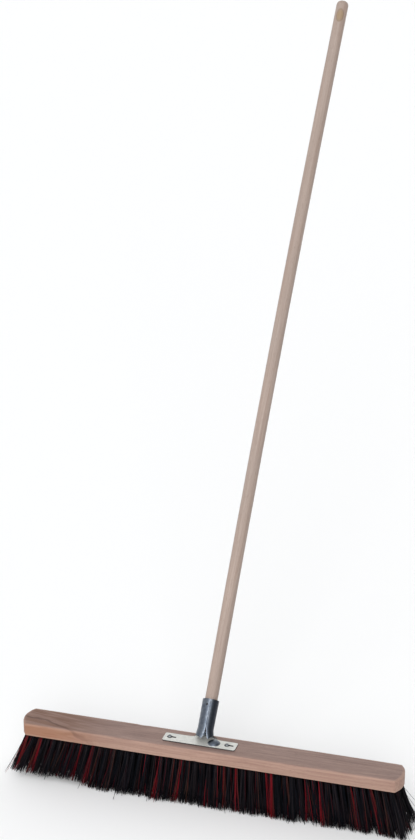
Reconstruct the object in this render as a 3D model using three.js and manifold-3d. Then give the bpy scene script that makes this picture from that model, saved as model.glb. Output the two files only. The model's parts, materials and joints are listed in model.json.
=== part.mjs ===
// Push broom: a wooden head drilled for five rows of bristle tufts, a pressed sheet-steel handle
// holder hung on two screws by keyhole slots, and a round wooden stick pushed into its sleeve.
// Millimetres. +X runs along the head, -Y is its front and +Z is up. The trimmed bristle tips
// stand on z = 0, and the origin is the middle of that sweeping face.
import * as THREE from "three";
import { ConvexGeometry } from "three/addons/geometries/ConvexGeometry.js";
import { mergeVertices } from "three/addons/utils/BufferGeometryUtils.js";
import Module from "manifold-3d";

const wasm = await Module();
wasm.setup();

// Clearance between touching pieces.
const GAP = 0.3;

// Wooden block.
const BLOCK_LENGTH = 800;
const BLOCK_DEPTH = 66;
const BLOCK_THICKNESS = 28;
const BLOCK_END_BULGE = 12;
const BLOCK_EDGE_ROUND = 2.4;
const BLOCK_SEGMENTS = 10;

// Bristles: rows across the depth, each row split into banks of neighbouring tufts.
const BRISTLE_HEIGHT = 94;
const ROW_COUNT = 5;
const ROW_PITCH = 12;
const BANKS_PER_ROW = 9;
const ROW_END_INSET = 6;
const TUFT_ROOT_DEPTH = 6.5;
const TUFT_TIP_DEPTH = 12.5;
const BANK_GAP = 1.6;
const END_LEAN = THREE.MathUtils.degToRad(20);
const OUTER_ROW_LEAN = THREE.MathUtils.degToRad(8);

// Handle holder: one stamping with a flat plate, a neck bent up at its back edge and a sleeve
// rolled from that neck. Places are measured from the point where the sleeve's axis meets the
// plate's top face, and angles round the sleeve from its front.
const SHEET = 2;
const HOLDER_X = -16;
const HOLDER_Y = -2.4;
const SLEEVE_TILT = THREE.MathUtils.degToRad(40);
const SLEEVE_LENGTH = 87;
const SLEEVE_BOTTOM_RADIUS = 16;
const SLEEVE_RIM_RADIUS = 16.9;
const SLEEVE_SEGMENTS = 48;
const SLEEVE_SPARE = 20;
const SLEEVE_FRONT_FOOT = { y: -8.4, z: 14.9 };
const SLEEVE_REAR_FOOT = { y: 20.8, z: 0 };
const SEAM_WIDTH = 1.2;
const SEAM_ANGLE = THREE.MathUtils.degToRad(13);
const NAIL_HOLE_RADIUS = 2;
const NAIL_HOLE_ANGLE = THREE.MathUtils.degToRad(-8);
const NAIL_HOLE_BELOW_RIM = 12;
const PLATE_LEFT = -83.5;
const PLATE_RIGHT = 69.5;
const PLATE_FRONT = -14;
const PLATE_BACK = 16;
const PLATE_CORNER = 4;
const NECK_HALF_WIDTH = 19;
const NECK_HEIGHT = 20;
const NECK_WRAP = THREE.MathUtils.degToRad(70);
const NECK_STEPS = 12;
const BOSS_X = 22;
const BOSS_Y = 1;
const BOSS_RADIUS = 13;
const BOSS_HEIGHT = 7;
const BOSS_STEPS = 6;

// Keyhole slots: each opens round the screw's head and narrows towards +X.
const KEYHOLE_LEFT = -71.5;
const KEYHOLE_RIGHT = 49.5;
const KEYHOLE_Y = 2;
const KEYHOLE_RADIUS = 5.5;
const KEYHOLE_NECK = 4.6;
const KEYHOLE_REACH = 11.5;

// Holder screws.
const SHANK_RADIUS = 2;
const SHANK_LENGTH = 21;
const HEAD_RADIUS = 4.3;
const HEAD_HEIGHT = 2.8;
const RECESS_WIDTH = 1.2;
const RECESS_LENGTH = 5;
const RECESS_DEPTH = 1.5;

// Handle.
const STICK_RADIUS = 13;
const STICK_LENGTH = 1620;
const STICK_START = 22;
const STICK_CHAMFER = 1.5;
const STICK_TOP_ROUND = 9;
const STICK_TOP_STEPS = 6;
const STICK_SEGMENTS = 40;

// Facets round the small turned shapes.
const FINE_SEGMENTS = 32;
const SMALL_SEGMENTS = 24;

// Heights that follow from the sizes above.
const BLOCK_TOP = BRISTLE_HEIGHT + BLOCK_THICKNESS;
const PLATE_TOP = BLOCK_TOP + GAP + SHEET;

const MATERIALS = {
  block: { color: 0xa98a76, roughness: 0.7, metalness: 0 },
  stick: { color: 0xb09a88, roughness: 0.65, metalness: 0 },
  holder: { color: 0xb9bdbd, roughness: 0.35, metalness: 0.9 },
  screw: { color: 0xa9adb0, roughness: 0.35, metalness: 0.9 },
  bristle: { color: 0x17161a, roughness: 0.55, metalness: 0 },
};

const broom = new THREE.Group();

function addPart(name, geometry, look, parent = broom) {
  const mesh = new THREE.Mesh(geometry, new THREE.MeshStandardMaterial(MATERIALS[look]));
  mesh.name = name;
  parent.add(mesh);
  return mesh;
}

// A closed geometry as a manifold solid: one vertex per corner, no triangle without area.
function solidOf(geometry) {
  const bare = geometry.clone();
  bare.deleteAttribute("normal");
  bare.deleteAttribute("uv");
  const merged = mergeVertices(bare, 1e-3);
  const corners = merged.index.array;
  const triangles = [];
  for (let i = 0; i < corners.length; i += 3) {
    const [a, b, c] = corners.slice(i, i + 3);
    if (a !== b && b !== c && c !== a) {
      triangles.push(a, b, c);
    }
  }
  const mesh = new wasm.Mesh({
    numProp: 3,
    vertProperties: new Float32Array(merged.attributes.position.array),
    triVerts: new Uint32Array(triangles),
  });
  return new wasm.Manifold(mesh);
}

function geometryOf(solid) {
  const mesh = solid.getMesh();
  const geometry = new THREE.BufferGeometry();
  geometry.setAttribute("position", new THREE.Float32BufferAttribute(mesh.vertProperties, 3));
  geometry.setIndex(new THREE.Uint32BufferAttribute(mesh.triVerts, 1));
  return geometry;
}

function box(width, depth, height, x, y, z) {
  return new THREE.BoxGeometry(width, depth, height).translate(x, y, z);
}

// A round bar along +Z from the point (x, y, low) to the height high.
function upright(radius, low, high, x, y) {
  const bar = new THREE.CylinderGeometry(radius, radius, high - low, SMALL_SEGMENTS);
  return bar.rotateX(Math.PI / 2).translate(x, y, (low + high) / 2);
}

// A turned solid about +Z from [radius, height] pairs that start and end on the axis.
function turned(profile, segments) {
  const points = profile.map(([radius, height]) => new THREE.Vector2(radius, height));
  return new THREE.LatheGeometry(points, segments).rotateX(Math.PI / 2);
}

// How far the head's end arc reaches along X at a distance y from the middle line.
function headEndAt(y) {
  const half = BLOCK_DEPTH / 2;
  const radius = (half ** 2 + BLOCK_END_BULGE ** 2) / (2 * BLOCK_END_BULGE);
  return BLOCK_LENGTH / 2 - radius + Math.sqrt(radius ** 2 - y ** 2);
}

// Screw places on the head, below the keyholes' round parts.
const SCREW_PLACES = {
  holder_screw_left: { x: HOLDER_X + KEYHOLE_LEFT, y: HOLDER_Y + KEYHOLE_Y },
  holder_screw_right: { x: HOLDER_X + KEYHOLE_RIGHT, y: HOLDER_Y + KEYHOLE_Y },
};

// The block: a plank with a convex arc at each end, rounded edges and a pilot hole per screw.
function blockGeometry() {
  const half = BLOCK_DEPTH / 2;
  const corner = BLOCK_LENGTH / 2 - BLOCK_END_BULGE;
  const radius = (half ** 2 + BLOCK_END_BULGE ** 2) / (2 * BLOCK_END_BULGE);
  const centre = BLOCK_LENGTH / 2 - radius;
  const sweep = Math.asin(half / radius);
  const outline = new THREE.Shape();
  outline.moveTo(-corner, -half);
  outline.lineTo(corner, -half);
  outline.absarc(centre, 0, radius, -sweep, sweep);
  outline.lineTo(-corner, half);
  outline.absarc(-centre, 0, radius, Math.PI - sweep, Math.PI + sweep);
  const plank = new THREE.ExtrudeGeometry(outline, {
    depth: BLOCK_THICKNESS - 2 * BLOCK_EDGE_ROUND,
    bevelThickness: BLOCK_EDGE_ROUND,
    bevelSize: BLOCK_EDGE_ROUND,
    bevelOffset: -BLOCK_EDGE_ROUND,
    bevelSegments: 3,
    curveSegments: BLOCK_SEGMENTS,
  });
  let solid = solidOf(plank.translate(0, 0, BRISTLE_HEIGHT + BLOCK_EDGE_ROUND));
  for (const place of Object.values(SCREW_PLACES)) {
    const bottom = PLATE_TOP + GAP - SHANK_LENGTH - 1;
    const hole = upright(SHANK_RADIUS + GAP, bottom, BLOCK_TOP + 1, place.x, place.y);
    solid = solid.subtract(solidOf(hole));
  }
  return geometryOf(solid);
}

// One bank of neighbouring tufts in a row: a slab that leans outwards with the row and with its
// place along the head, wider at the trimmed tips than at the block.
function bankGeometry(rowY, bank) {
  const rowEnd = headEndAt(rowY) - ROW_END_INSET;
  const rowLean = OUTER_ROW_LEAN * rowY / (ROW_PITCH * (ROW_COUNT - 1) / 2);
  const tipY = rowY + BRISTLE_HEIGHT * Math.tan(rowLean);
  const rootZ = BRISTLE_HEIGHT - GAP;
  const corners = [];
  for (const side of [-1, 1]) {
    const boundary = -rowEnd + 2 * rowEnd * (bank + (side + 1) / 2) / BANKS_PER_ROW;
    const rootX = boundary - side * BANK_GAP / 2;
    const tipX = rootX + BRISTLE_HEIGHT * Math.tan(END_LEAN * rootX / (BLOCK_LENGTH / 2));
    corners.push({ rootX, tipX });
  }
  const slab = new THREE.BoxGeometry(1, 1, 1);
  const position = slab.attributes.position;
  for (let i = 0; i < position.count; i += 1) {
    const { rootX, tipX } = position.getX(i) < 0 ? corners[0] : corners[1];
    const across = 2 * position.getY(i);
    if (position.getZ(i) > 0) {
      position.setXYZ(i, rootX, rowY + across * TUFT_ROOT_DEPTH / 2, rootZ);
    } else {
      position.setXYZ(i, tipX, tipY + across * TUFT_TIP_DEPTH / 2, 0);
    }
  }
  return slab;
}

// Plate outline seen from above: a bar with rounded corners, and at its back a filleted neck that
// ends on the bend line.
function plateOutline() {
  const left = PLATE_LEFT + PLATE_CORNER;
  const right = PLATE_RIGHT - PLATE_CORNER;
  const front = PLATE_FRONT + PLATE_CORNER;
  const back = PLATE_BACK - PLATE_CORNER;
  const bend = SLEEVE_REAR_FOOT.y;
  const fillet = bend - PLATE_BACK;
  const quarter = Math.PI / 2;
  const outline = new THREE.Shape();
  outline.moveTo(left, PLATE_FRONT);
  outline.absarc(right, front, PLATE_CORNER, -quarter, 0);
  outline.absarc(right, back, PLATE_CORNER, 0, quarter);
  outline.absarc(NECK_HALF_WIDTH + fillet, bend, fillet, -quarter, -2 * quarter, true);
  outline.absarc(-NECK_HALF_WIDTH - fillet, bend, fillet, 0, -quarter, true);
  outline.absarc(left, back, PLATE_CORNER, quarter, 2 * quarter);
  outline.absarc(left, front, PLATE_CORNER, 2 * quarter, 3 * quarter);
  return outline;
}

function keyhole(x) {
  const neckEnd = x + KEYHOLE_REACH;
  const half = KEYHOLE_NECK / 2;
  const opening = Math.asin(half / KEYHOLE_RADIUS);
  const hole = new THREE.Path();
  hole.absarc(x, KEYHOLE_Y, KEYHOLE_RADIUS, opening, 2 * Math.PI - opening);
  hole.absarc(neckEnd, KEYHOLE_Y, half, -Math.PI / 2, Math.PI / 2);
  return hole;
}

// The flat plate with its two keyholes, top face on z = 0.
function plateSolid() {
  const outline = plateOutline();
  outline.holes.push(keyhole(KEYHOLE_LEFT), keyhole(KEYHOLE_RIGHT));
  const plate = new THREE.ExtrudeGeometry(outline, { depth: SHEET, bevelEnabled: false, curveSegments: 10 });
  return solidOf(plate.translate(0, 0, -SHEET));
}

// A spherical cap over the boss, with its rim circle on z = 0 and half a sheet of skirt below it.
function cap(radius, height) {
  const ball = (radius ** 2 + height ** 2) / (2 * height);
  const sweep = Math.asin(radius / ball);
  const profile = [[0, -SHEET / 2], [radius, -SHEET / 2]];
  for (let step = BOSS_STEPS; step > 0; step -= 1) {
    const angle = sweep * step / BOSS_STEPS;
    profile.push([ball * Math.sin(angle), height - ball + ball * Math.cos(angle)]);
  }
  profile.push([0, height]);
  return turned(profile, FINE_SEGMENTS).translate(BOSS_X, BOSS_Y, 0);
}

// Inside of the sleeve about its own axis, between two heights.
function sleeveBore(low, high) {
  return solidOf(turned([
    [0, low],
    [sleeveRadius(low) - SHEET, low],
    [sleeveRadius(high) - SHEET, high],
    [0, high],
  ], SLEEVE_SEGMENTS));
}

// Outer radius of the sleeve at a height along its axis: slightly wider at the rim.
function sleeveRadius(height) {
  const flare = (SLEEVE_RIM_RADIUS - SLEEVE_BOTTOM_RADIUS) / SLEEVE_LENGTH;
  return SLEEVE_BOTTOM_RADIUS + flare * height;
}

// The sleeve about its own axis: a rolled tube with an open seam and a nail hole at its front.
function sleeveTube() {
  const low = -SLEEVE_SPARE;
  const high = SLEEVE_LENGTH;
  const tube = turned([[0, low], [sleeveRadius(low), low], [sleeveRadius(high), high], [0, high]],
    SLEEVE_SEGMENTS);
  const reach = SLEEVE_RIM_RADIUS + 1;
  const seam = box(SEAM_WIDTH, reach, high - low + 2, 0, -reach / 2, (high + low) / 2)
    .rotateZ(SEAM_ANGLE);
  const nailHole = new THREE.CylinderGeometry(NAIL_HOLE_RADIUS, NAIL_HOLE_RADIUS, reach, SMALL_SEGMENTS)
    .translate(0, -reach / 2, high - NAIL_HOLE_BELOW_RIM)
    .rotateZ(NAIL_HOLE_ANGLE);
  return solidOf(tube)
    .subtract(sleeveBore(low - 1, high + 1))
    .subtract(solidOf(seam))
    .subtract(solidOf(nailHole));
}

// A solid that stands along the handle, turned from its own axis into the holder's frame.
function tilted(solid) {
  return solid.rotate([-THREE.MathUtils.radToDeg(SLEEVE_TILT), 0, 0]);
}

// The neck: it rises from the bend line at the plate's back and wraps round the sleeve's rear wall.
function neckSolid() {
  const points = [];
  for (const x of [-NECK_HALF_WIDTH, NECK_HALF_WIDTH]) {
    points.push(new THREE.Vector3(x, SLEEVE_REAR_FOOT.y, 0));
    points.push(new THREE.Vector3(x, SLEEVE_REAR_FOOT.y, -SHEET));
  }
  const radius = sleeveRadius(NECK_HEIGHT);
  for (let step = 0; step <= NECK_STEPS; step += 1) {
    const angle = NECK_WRAP * (2 * step / NECK_STEPS - 1);
    const rim = new THREE.Vector3(radius * Math.sin(angle), radius * Math.cos(angle), NECK_HEIGHT);
    points.push(rim.applyAxisAngle(new THREE.Vector3(1, 0, 0), -SLEEVE_TILT));
  }
  const bore = tilted(sleeveBore(-SLEEVE_SPARE, SLEEVE_LENGTH));
  return solidOf(new ConvexGeometry(points)).subtract(bore);
}

// Everything below the sleeve's slanted foot, which rises from the plate's back to the front.
function belowFoot() {
  const rise = SLEEVE_FRONT_FOOT.z - SLEEVE_REAR_FOOT.z;
  const slant = Math.atan2(rise, SLEEVE_REAR_FOOT.y - SLEEVE_FRONT_FOOT.y);
  const size = 2 * SLEEVE_LENGTH;
  const waste = box(size, size, size, 0, 0, -size / 2).rotateX(-slant);
  return solidOf(waste.translate(0, SLEEVE_REAR_FOOT.y, SLEEVE_REAR_FOOT.z));
}

function holderGeometry() {
  const sleeve = tilted(sleeveTube()).subtract(belowFoot());
  const hollow = cap(BOSS_RADIUS - SHEET, BOSS_HEIGHT - SHEET / 2).translate(0, 0, -SHEET);
  const plate = plateSolid().add(solidOf(cap(BOSS_RADIUS, BOSS_HEIGHT))).subtract(solidOf(hollow));
  return geometryOf(plate.add(neckSolid()).add(sleeve));
}

function screwGeometry() {
  const tip = -SHANK_LENGTH;
  const shoulder = HEAD_HEIGHT * 0.35;
  const body = turned([
    [0, tip],
    [SHANK_RADIUS, tip + 2 * SHANK_RADIUS],
    [SHANK_RADIUS, 0],
    [HEAD_RADIUS, 0],
    [HEAD_RADIUS, shoulder],
    [HEAD_RADIUS * 0.86, HEAD_HEIGHT * 0.72],
    [HEAD_RADIUS * 0.55, HEAD_HEIGHT * 0.95],
    [0, HEAD_HEIGHT],
  ], SMALL_SEGMENTS);
  const recess = box(RECESS_LENGTH, RECESS_WIDTH, 2 * RECESS_DEPTH, 0, 0, HEAD_HEIGHT);
  const crossed = recess.clone().rotateZ(Math.PI / 2);
  return geometryOf(solidOf(body).subtract(solidOf(recess)).subtract(solidOf(crossed)));
}

function stickGeometry() {
  const profile = [[0, 0], [STICK_RADIUS - STICK_CHAMFER, 0], [STICK_RADIUS, STICK_CHAMFER]];
  for (let step = 0; step < STICK_TOP_STEPS; step += 1) {
    const angle = (Math.PI / 2) * step / STICK_TOP_STEPS;
    const height = STICK_LENGTH - STICK_TOP_ROUND + STICK_TOP_ROUND * Math.sin(angle);
    profile.push([STICK_RADIUS * Math.cos(angle), height]);
  }
  profile.push([0, STICK_LENGTH]);
  return turned(profile, STICK_SEGMENTS);
}

addPart("broom_block", blockGeometry(), "block");

for (let row = 0; row < ROW_COUNT; row += 1) {
  const rowY = (row - (ROW_COUNT - 1) / 2) * ROW_PITCH;
  for (let bank = 0; bank < BANKS_PER_ROW; bank += 1) {
    const name = `bristle_row_${row + 1}_bank_${String(bank + 1).padStart(2, "0")}`;
    addPart(name, bankGeometry(rowY, bank), "bristle");
  }
}

const holderFrame = new THREE.Group();
holderFrame.position.set(HOLDER_X, HOLDER_Y, PLATE_TOP);
broom.add(holderFrame);
addPart("handle_holder", holderGeometry(), "holder", holderFrame);

const stickFrame = new THREE.Group();
stickFrame.rotation.x = -SLEEVE_TILT;
holderFrame.add(stickFrame);
addPart("handle_stick", stickGeometry(), "stick", stickFrame).position.z = STICK_START;

for (const [name, place] of Object.entries(SCREW_PLACES)) {
  addPart(name, screwGeometry(), "screw").position.set(place.x, place.y, PLATE_TOP + GAP);
}

export default broom;
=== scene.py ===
"""Push broom: finished meshes, materials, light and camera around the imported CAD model.

Metres, in the model's own frame: +X along the head, -Y its front, +Z up, the floor at z = 0.
"""

import json
import math
import random

import bmesh
import bpy
from mathutils import Matrix, Vector, noise
from mathutils.kdtree import KDTree


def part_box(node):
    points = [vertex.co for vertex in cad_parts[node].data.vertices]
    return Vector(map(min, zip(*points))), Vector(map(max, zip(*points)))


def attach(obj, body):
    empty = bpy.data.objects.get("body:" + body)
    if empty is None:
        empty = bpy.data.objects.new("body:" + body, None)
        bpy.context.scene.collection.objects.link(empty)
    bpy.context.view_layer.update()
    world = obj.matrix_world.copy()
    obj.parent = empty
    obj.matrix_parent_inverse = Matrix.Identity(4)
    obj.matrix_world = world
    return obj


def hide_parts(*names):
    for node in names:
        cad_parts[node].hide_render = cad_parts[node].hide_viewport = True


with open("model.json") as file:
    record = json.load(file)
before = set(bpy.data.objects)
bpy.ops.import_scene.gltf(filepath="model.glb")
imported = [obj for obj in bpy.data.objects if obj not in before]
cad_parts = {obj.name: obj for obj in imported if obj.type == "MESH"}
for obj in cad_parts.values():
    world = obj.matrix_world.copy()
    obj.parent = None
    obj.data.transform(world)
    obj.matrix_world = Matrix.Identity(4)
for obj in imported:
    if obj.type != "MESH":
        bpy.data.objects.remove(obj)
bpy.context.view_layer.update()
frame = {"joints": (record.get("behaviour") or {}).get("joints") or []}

MM = 0.001
SEED = 17

# Camera: azimuth from the front towards +X, elevation above the floor, and place.
CAMERA_PLACE = (1.348, -4.513, 2.933)
CAMERA_AZIMUTH = math.radians(16.72)
CAMERA_ELEVATION = math.radians(23.98)
CAMERA_LENS = 115.5

# Wooden head, from the CAD block's box.
block_low, block_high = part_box("broom_block")
HALF_LENGTH = block_high.x
HALF_DEPTH = block_high.y
BLOCK_TOP = block_high.z
BLOCK_BOTTOM = block_low.z
END_BULGE = 12 * MM
EDGE_ROUND = 2.4 * MM
EDGE_STEPS = 5
END_STEPS = 18
SIDE_STEPS = 60
WEAR_BAND = 3.5 * MM
DENT_DEPTH = 1.6 * MM
DENTS_PER_METRE = 55
DENT_THRESHOLD = 0.32

# Heartwood: it tints the head's left end, and a dark line runs through it along a slanting plane.
HEARTWOOD_START = -0.20
HEARTWOOD_FULL = -0.34
STREAK_NORMAL = (0.266, 0.886, 0.38)
STREAK_OFFSET = -57 * MM

# Bristles: rows and banks as in the CAD, and each bank's tufts and strands. A tuft is a round bunch
# of strands. Its radius is HOLE_RADIUS at the wood and TUFT_SPREAD more at the tips.
ROW_COUNT = 5
MIDDLE_ROW = (ROW_COUNT - 1) / 2
ROW_PITCH = 12 * MM
BANKS_PER_ROW = 9
TUFTS_PER_BANK = 6
ROW_END_INSET = 6 * MM
STRANDS_PER_TUFT = 62
HOLE_RADIUS = 4.4 * MM
TUFT_SPREAD = 5.6 * MM
SPREAD_POWER = 1.2
END_LEAN = math.radians(19)
INNER_END_LEAN = math.radians(11)
OUTER_ROW_LEAN = math.radians(11)
STRAND_RADIUS = 0.55 * MM
STRAND_TIP_RADIUS = 0.46 * MM
STRAND_SEGMENTS = 4
STRAND_SIDES = 3
ROOT_SUNK = 2 * MM
CURL = 2.2 * MM
WILD_CURL = 8 * MM
WILD_CURL_SHARE = 0.05
STRAY_COLOUR_SHARE = 0.05
BACK_PATCH_SHARE = 0.18

# Unevenness of the bristles. A jitter is a standard deviation, and a share is a part of the strands.
# END_STRAY_JITTER and WILD_STRAY are in degrees, and only the tufts at the ends have them.
PLACE_JITTER = 0.6 * MM
LEAN_X_JITTER = math.radians(1.1)
LEAN_Y_JITTER = math.radians(1.3)
TUFT_TRIM_JITTER = 1.1 * MM
STRAND_TRIM_JITTER = 1.4 * MM
SHORT_SHARE = 0.07
SHORT_BY = (2 * MM, 10 * MM)
END_TUFTS = 1.2
END_STRAY_JITTER = 1.5
WILD_SHARE = 0.015
WILD_STRAY = (7, 17)

# Trimmed tips: the head's worn left end has shorter bristles, from WORN_FROM outwards.
TIP_CLEARANCE = 0.3 * MM
WORN_TRIM = 12 * MM
WORN_FROM = -0.215
WORN_BAND = 0.05

# Front tufts with a coloured patch, by their number from the left, and the strands' colour mixes.
# A patch's place and radius are parts of HOLE_RADIUS.
FRONT_RED_TUFTS = (0, 2, 8, 10, 20, 23, 27, 29, 31, 35, 36, 41, 43, 47, 50)
FRONT_BROWN_TUFTS = (5, 11, 24, 38, 52)
RED_PATCH = ("red", "red", "dark_red", "red_brown")
BROWN_PATCH = ("red_brown", "brown", "dark_red", "black")
BACK_PATCH = ("dark_red", "dark_red", "red_brown", "black")
STRAY_MIX = ("dark_red", "dark_red", "red_brown", "red")
BLACK_MIX = ("black", "black", "blue_black", "blue_black", "soft_black", "dusty_black")
PATCH_REACH = 0.6
PATCH_RADIUS = (0.35, 0.75)
PATCH_COLOUR_SHARE = 0.85

# Colours, as linear red, green and blue. The top's painted shade colour is multiplied into the wood's
# colour where it faces up.
BLOCK_LIGHT = (0.395, 0.25, 0.193)
BLOCK_DARK = (0.29, 0.17, 0.129)
BLOCK_FLECK = (0.15, 0.083, 0.06)
PAINTED_TOP_SHADE = (0.66, 0.72, 0.81)
# Painted shade for the wood seen through the keyholes.
KEYHOLE_PAINTED_SHADE = (0.02, 0.015, 0.012)
RUBBED_WOOD = (0.43, 0.275, 0.21)
HEARTWOOD_STREAK = (0.19, 0.085, 0.05)
HEARTWOOD_TINT = (0.29, 0.135, 0.075)
HEARTWOOD_LINE = (0.12, 0.05, 0.032)
STICK_LIGHT = (0.40, 0.31, 0.262)
STICK_DARK = (0.32, 0.24, 0.20)
STICK_PATCH = (0.335, 0.275, 0.24)
STICK_FIBRE = (0.30, 0.21, 0.16)
STICK_PORE = (0.17, 0.11, 0.08)
# Painted shade for the stick inside the sleeve.
STICK_SOCKET_SHADE = (0.035, 0.03, 0.03)
KNOT_WOOD = (0.30, 0.205, 0.115)
KNOT_RIM = (0.20, 0.13, 0.07)
PLATE_ZINC = ((0.68, 0.68, 0.64), (0.60, 0.60, 0.57))
SLEEVE_ZINC = ((0.165, 0.185, 0.212), (0.10, 0.118, 0.152))
SLEEVE_SHADE = (0.018, 0.02, 0.03)
PLATE_SCUFF = (0.38, 0.37, 0.34)
SLEEVE_SCUFF = (0.05, 0.055, 0.07)
# Bare steel's colour with painted shade, for the sheet's cut edges.
BARE_EDGE_WITH_SHADE = (0.085, 0.08, 0.08)
SCREW_BRIGHT = (0.36, 0.37, 0.38)
SCREW_TARNISH = (0.15, 0.16, 0.17)
FLOOR_PAINT = (0.93, 0.93, 0.925)
ROOM_GREY = (0.69, 0.70, 0.72)
ROOM_WALL = (1.3, 1.3, 1.28)
ROOM_DARK = (0.04, 0.045, 0.055)

# Handle holder, in millimetres of the flat blank: u runs along the head, and v from the start of
# the bend up the sleeve. The holder's own origin is where the sleeve's axis meets the plate's top.
SHEET = 2.0

# Its plate, with two keyholes and a round boss.
PLATE_LEFT = -83.5
PLATE_RIGHT = 69.5
PLATE_FRONT = -14.0
PLATE_BACK = 16.0
PLATE_CORNER = 4.0
KEYHOLES = (-71.5, 49.5)
KEYHOLE_Y = 2.0
KEYHOLE_RADIUS = 5.5
KEYHOLE_NECK = 4.6
KEYHOLE_REACH = 11.5
BOSS_X = 22.0
BOSS_Y = 1.0
BOSS_RADIUS = 13.0
BOSS_HEIGHT = 7.0
BOSS_POWER = 0.8

# Its sleeve, which leans back, widens a little towards the rim, and has a seam and a nail hole.
SLEEVE_TILT = math.radians(40)
BEND_RADIUS = 6.0
REAR_RADIUS = 15.0
RIM_RADIUS = 15.9
SLEEVE_LENGTH = 87.0
SEAM_ANGLE = math.radians(13)
SEAM_GAP = 0.6
NAIL_RADIUS = 2.0
NAIL_ANGLE = math.radians(-8)
NAIL_BELOW_RIM = 12.0

# The notch on each side of the neck, and the corners and lower edge of the wing above it.
FILLET_START = 34.0
NOTCH_X = 21.0
NOTCH_V = 7.0
NOTCH_ROUND = 1.5
NOTCH_SLOPE = 0.34
WING_V = 9.0
WING_FRONT_V = 1.5
WING_CORNER = 2.0
WING_STEPS = 9
WING_POWER = 1.2
RIM_CORNER = 1.5

# The sleeve's foot: flatter and squeezed up to FLARE_TOP, and drawn down at its front.
FLARE_FLAT = 6.0
FLARE_SQUEEZE = 0.14
FLARE_TOP = 21.0
FLARE_POWER = 1.5
DROOP = 4.5
DROOP_TOP = 26.0
DROOP_POWER = 1.5

# How far up the neck and the boss the bright zinc turns dull.
DULL_RISE = 9.0
BOSS_DULL_RISE = 2.0

# The blank's mesh: the step of its grid, the reach within which an inner point is joined to the
# edge, and the distances within which two points, a point and a cut, or two lines are the same.
BLANK_STEP = 1.45
SLIVER = 0.5
SAME_POINT = 0.01
SAME_CUT = 0.02
SAME_LINE = 0.05

# Stick: it stands on the foot of the CAD stick and leans along the pull joint's axis.
STICK_RADIUS = 13 * MM
STICK_LENGTH = 1620 * MM
STICK_BOW = 4.5 * MM
BOW_FROM = 0.05
STICK_PLAY = 0.1 * MM
SOCKET_DEPTH = 64 * MM
STICK_TOP_ROUND = 10 * MM
KNOT_BELOW_TOP = 38 * MM
STICK_TOP_STEPS = 10
STICK_FOOT_TAPER = 0.9
STICK_UNEVENNESS = 0.18 * MM
STICK_RINGS = 110
STICK_SIDES = 56
joints = {joint["name"]: joint for joint in frame["joints"]}
stick_axis = Vector(joints["handle_pull"]["axis"]).normalized()
stick_low, stick_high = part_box("handle_stick")
stick_foot = Vector((
    (stick_low.x + stick_high.x) / 2,
    stick_low.y + STICK_RADIUS * stick_axis.z,
    stick_low.z + STICK_RADIUS * math.hypot(stick_axis.x, stick_axis.y),
))

# Screws. HEAD_FLANK is the part of the head's height that is its straight side.
SCREW_LENGTH = 21 * MM
POINT_LENGTH = 4 * MM
HEAD_RADIUS = 4.3 * MM
HEAD_HEIGHT = 2.8 * MM
SHANK_RADIUS = 2 * MM
THREAD_DEPTH = 0.45 * MM
THREAD_PITCH = 1.8 * MM
RECESS_WIDTH = 1.2 * MM
RECESS_LENGTH = 5 * MM
RECESS_DEPTH = 1.5 * MM
RECESS_TURN = 0.35
HEAD_FLANK = 0.25
HEAD_STEPS = 8
THREAD_STEPS = 60
SCREW_SIDES = 40


# ---------------------------------------------------------------- mesh helpers

def add_piece(name, mesh, matrix=None):
    """Adds a mesh to the scene as a piece of its own."""
    piece = bpy.data.objects.new(name, mesh)
    if matrix is not None:
        piece.matrix_world = matrix
    bpy.context.scene.collection.objects.link(piece)
    return piece


def smooth_faces(mesh, sharp_degrees=35):
    """Shades a mesh smooth, except across edges sharper than the angle."""
    mesh.shade_smooth()
    mesh.set_sharp_from_angle(angle=math.radians(sharp_degrees))


def baked(piece):
    """Applies a piece's modifiers to its mesh."""
    graph = bpy.context.evaluated_depsgraph_get()
    mesh = bpy.data.meshes.new_from_object(piece.evaluated_get(graph))
    piece.modifiers.clear()
    piece.data = mesh


def ring_mesh(name, rings):
    """A mesh through rings of equally many points, closed round each ring and capped at both ends."""
    sides = len(rings[0])
    points = [point for ring in rings for point in ring]
    faces = []
    for level in range(len(rings) - 1):
        for side in range(sides):
            after = (side + 1) % sides
            low = level * sides
            high = low + sides
            faces.append((low + side, low + after, high + after, high + side))
    faces.append(tuple(reversed(range(sides))))
    faces.append(tuple(range(len(points) - sides, len(points))))
    mesh = bpy.data.meshes.new(name)
    mesh.from_pydata(points, [], faces)
    return mesh


def eased(value):
    """Smooth step from 0 at 0 to 1 at 1."""
    value = min(max(value, 0.0), 1.0)
    return value * value * (3 - 2 * value)


# -------------------------------------------------------------- shader helpers

def add_node(tree, kind, inputs=None, **settings):
    """Adds a node. inputs maps a socket's name or number to a value or to another node's output."""
    made = tree.nodes.new(kind)
    for name, value in settings.items():
        setattr(made, name, value)
    for key, value in (inputs or {}).items():
        if isinstance(value, bpy.types.NodeSocket):
            tree.links.new(value, made.inputs[key])
        else:
            made.inputs[key].default_value = value
    return made


def new_material(name, **sockets):
    """A Principled material with plain values on the named sockets. Returns it, its tree and shader."""
    material = bpy.data.materials.new(name)
    material.use_nodes = True
    tree = material.node_tree
    shader = tree.nodes["Principled BSDF"]
    for socket, value in sockets.items():
        shader.inputs[socket.replace("_", " ").title()].default_value = value
    return material, tree, shader


def own_place(tree):
    """The piece's own coordinates, in metres."""
    return add_node(tree, "ShaderNodeTexCoord").outputs["Object"]


def stretched(tree, scale, turn=(0, 0, 0)):
    """The piece's own coordinates, turned and then scaled along each axis."""
    inputs = {"Vector": own_place(tree), "Rotation": turn}
    turned = add_node(tree, "ShaderNodeMapping", inputs).outputs[0]
    return add_node(tree, "ShaderNodeMapping", {"Vector": turned, "Scale": scale}).outputs[0]


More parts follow.
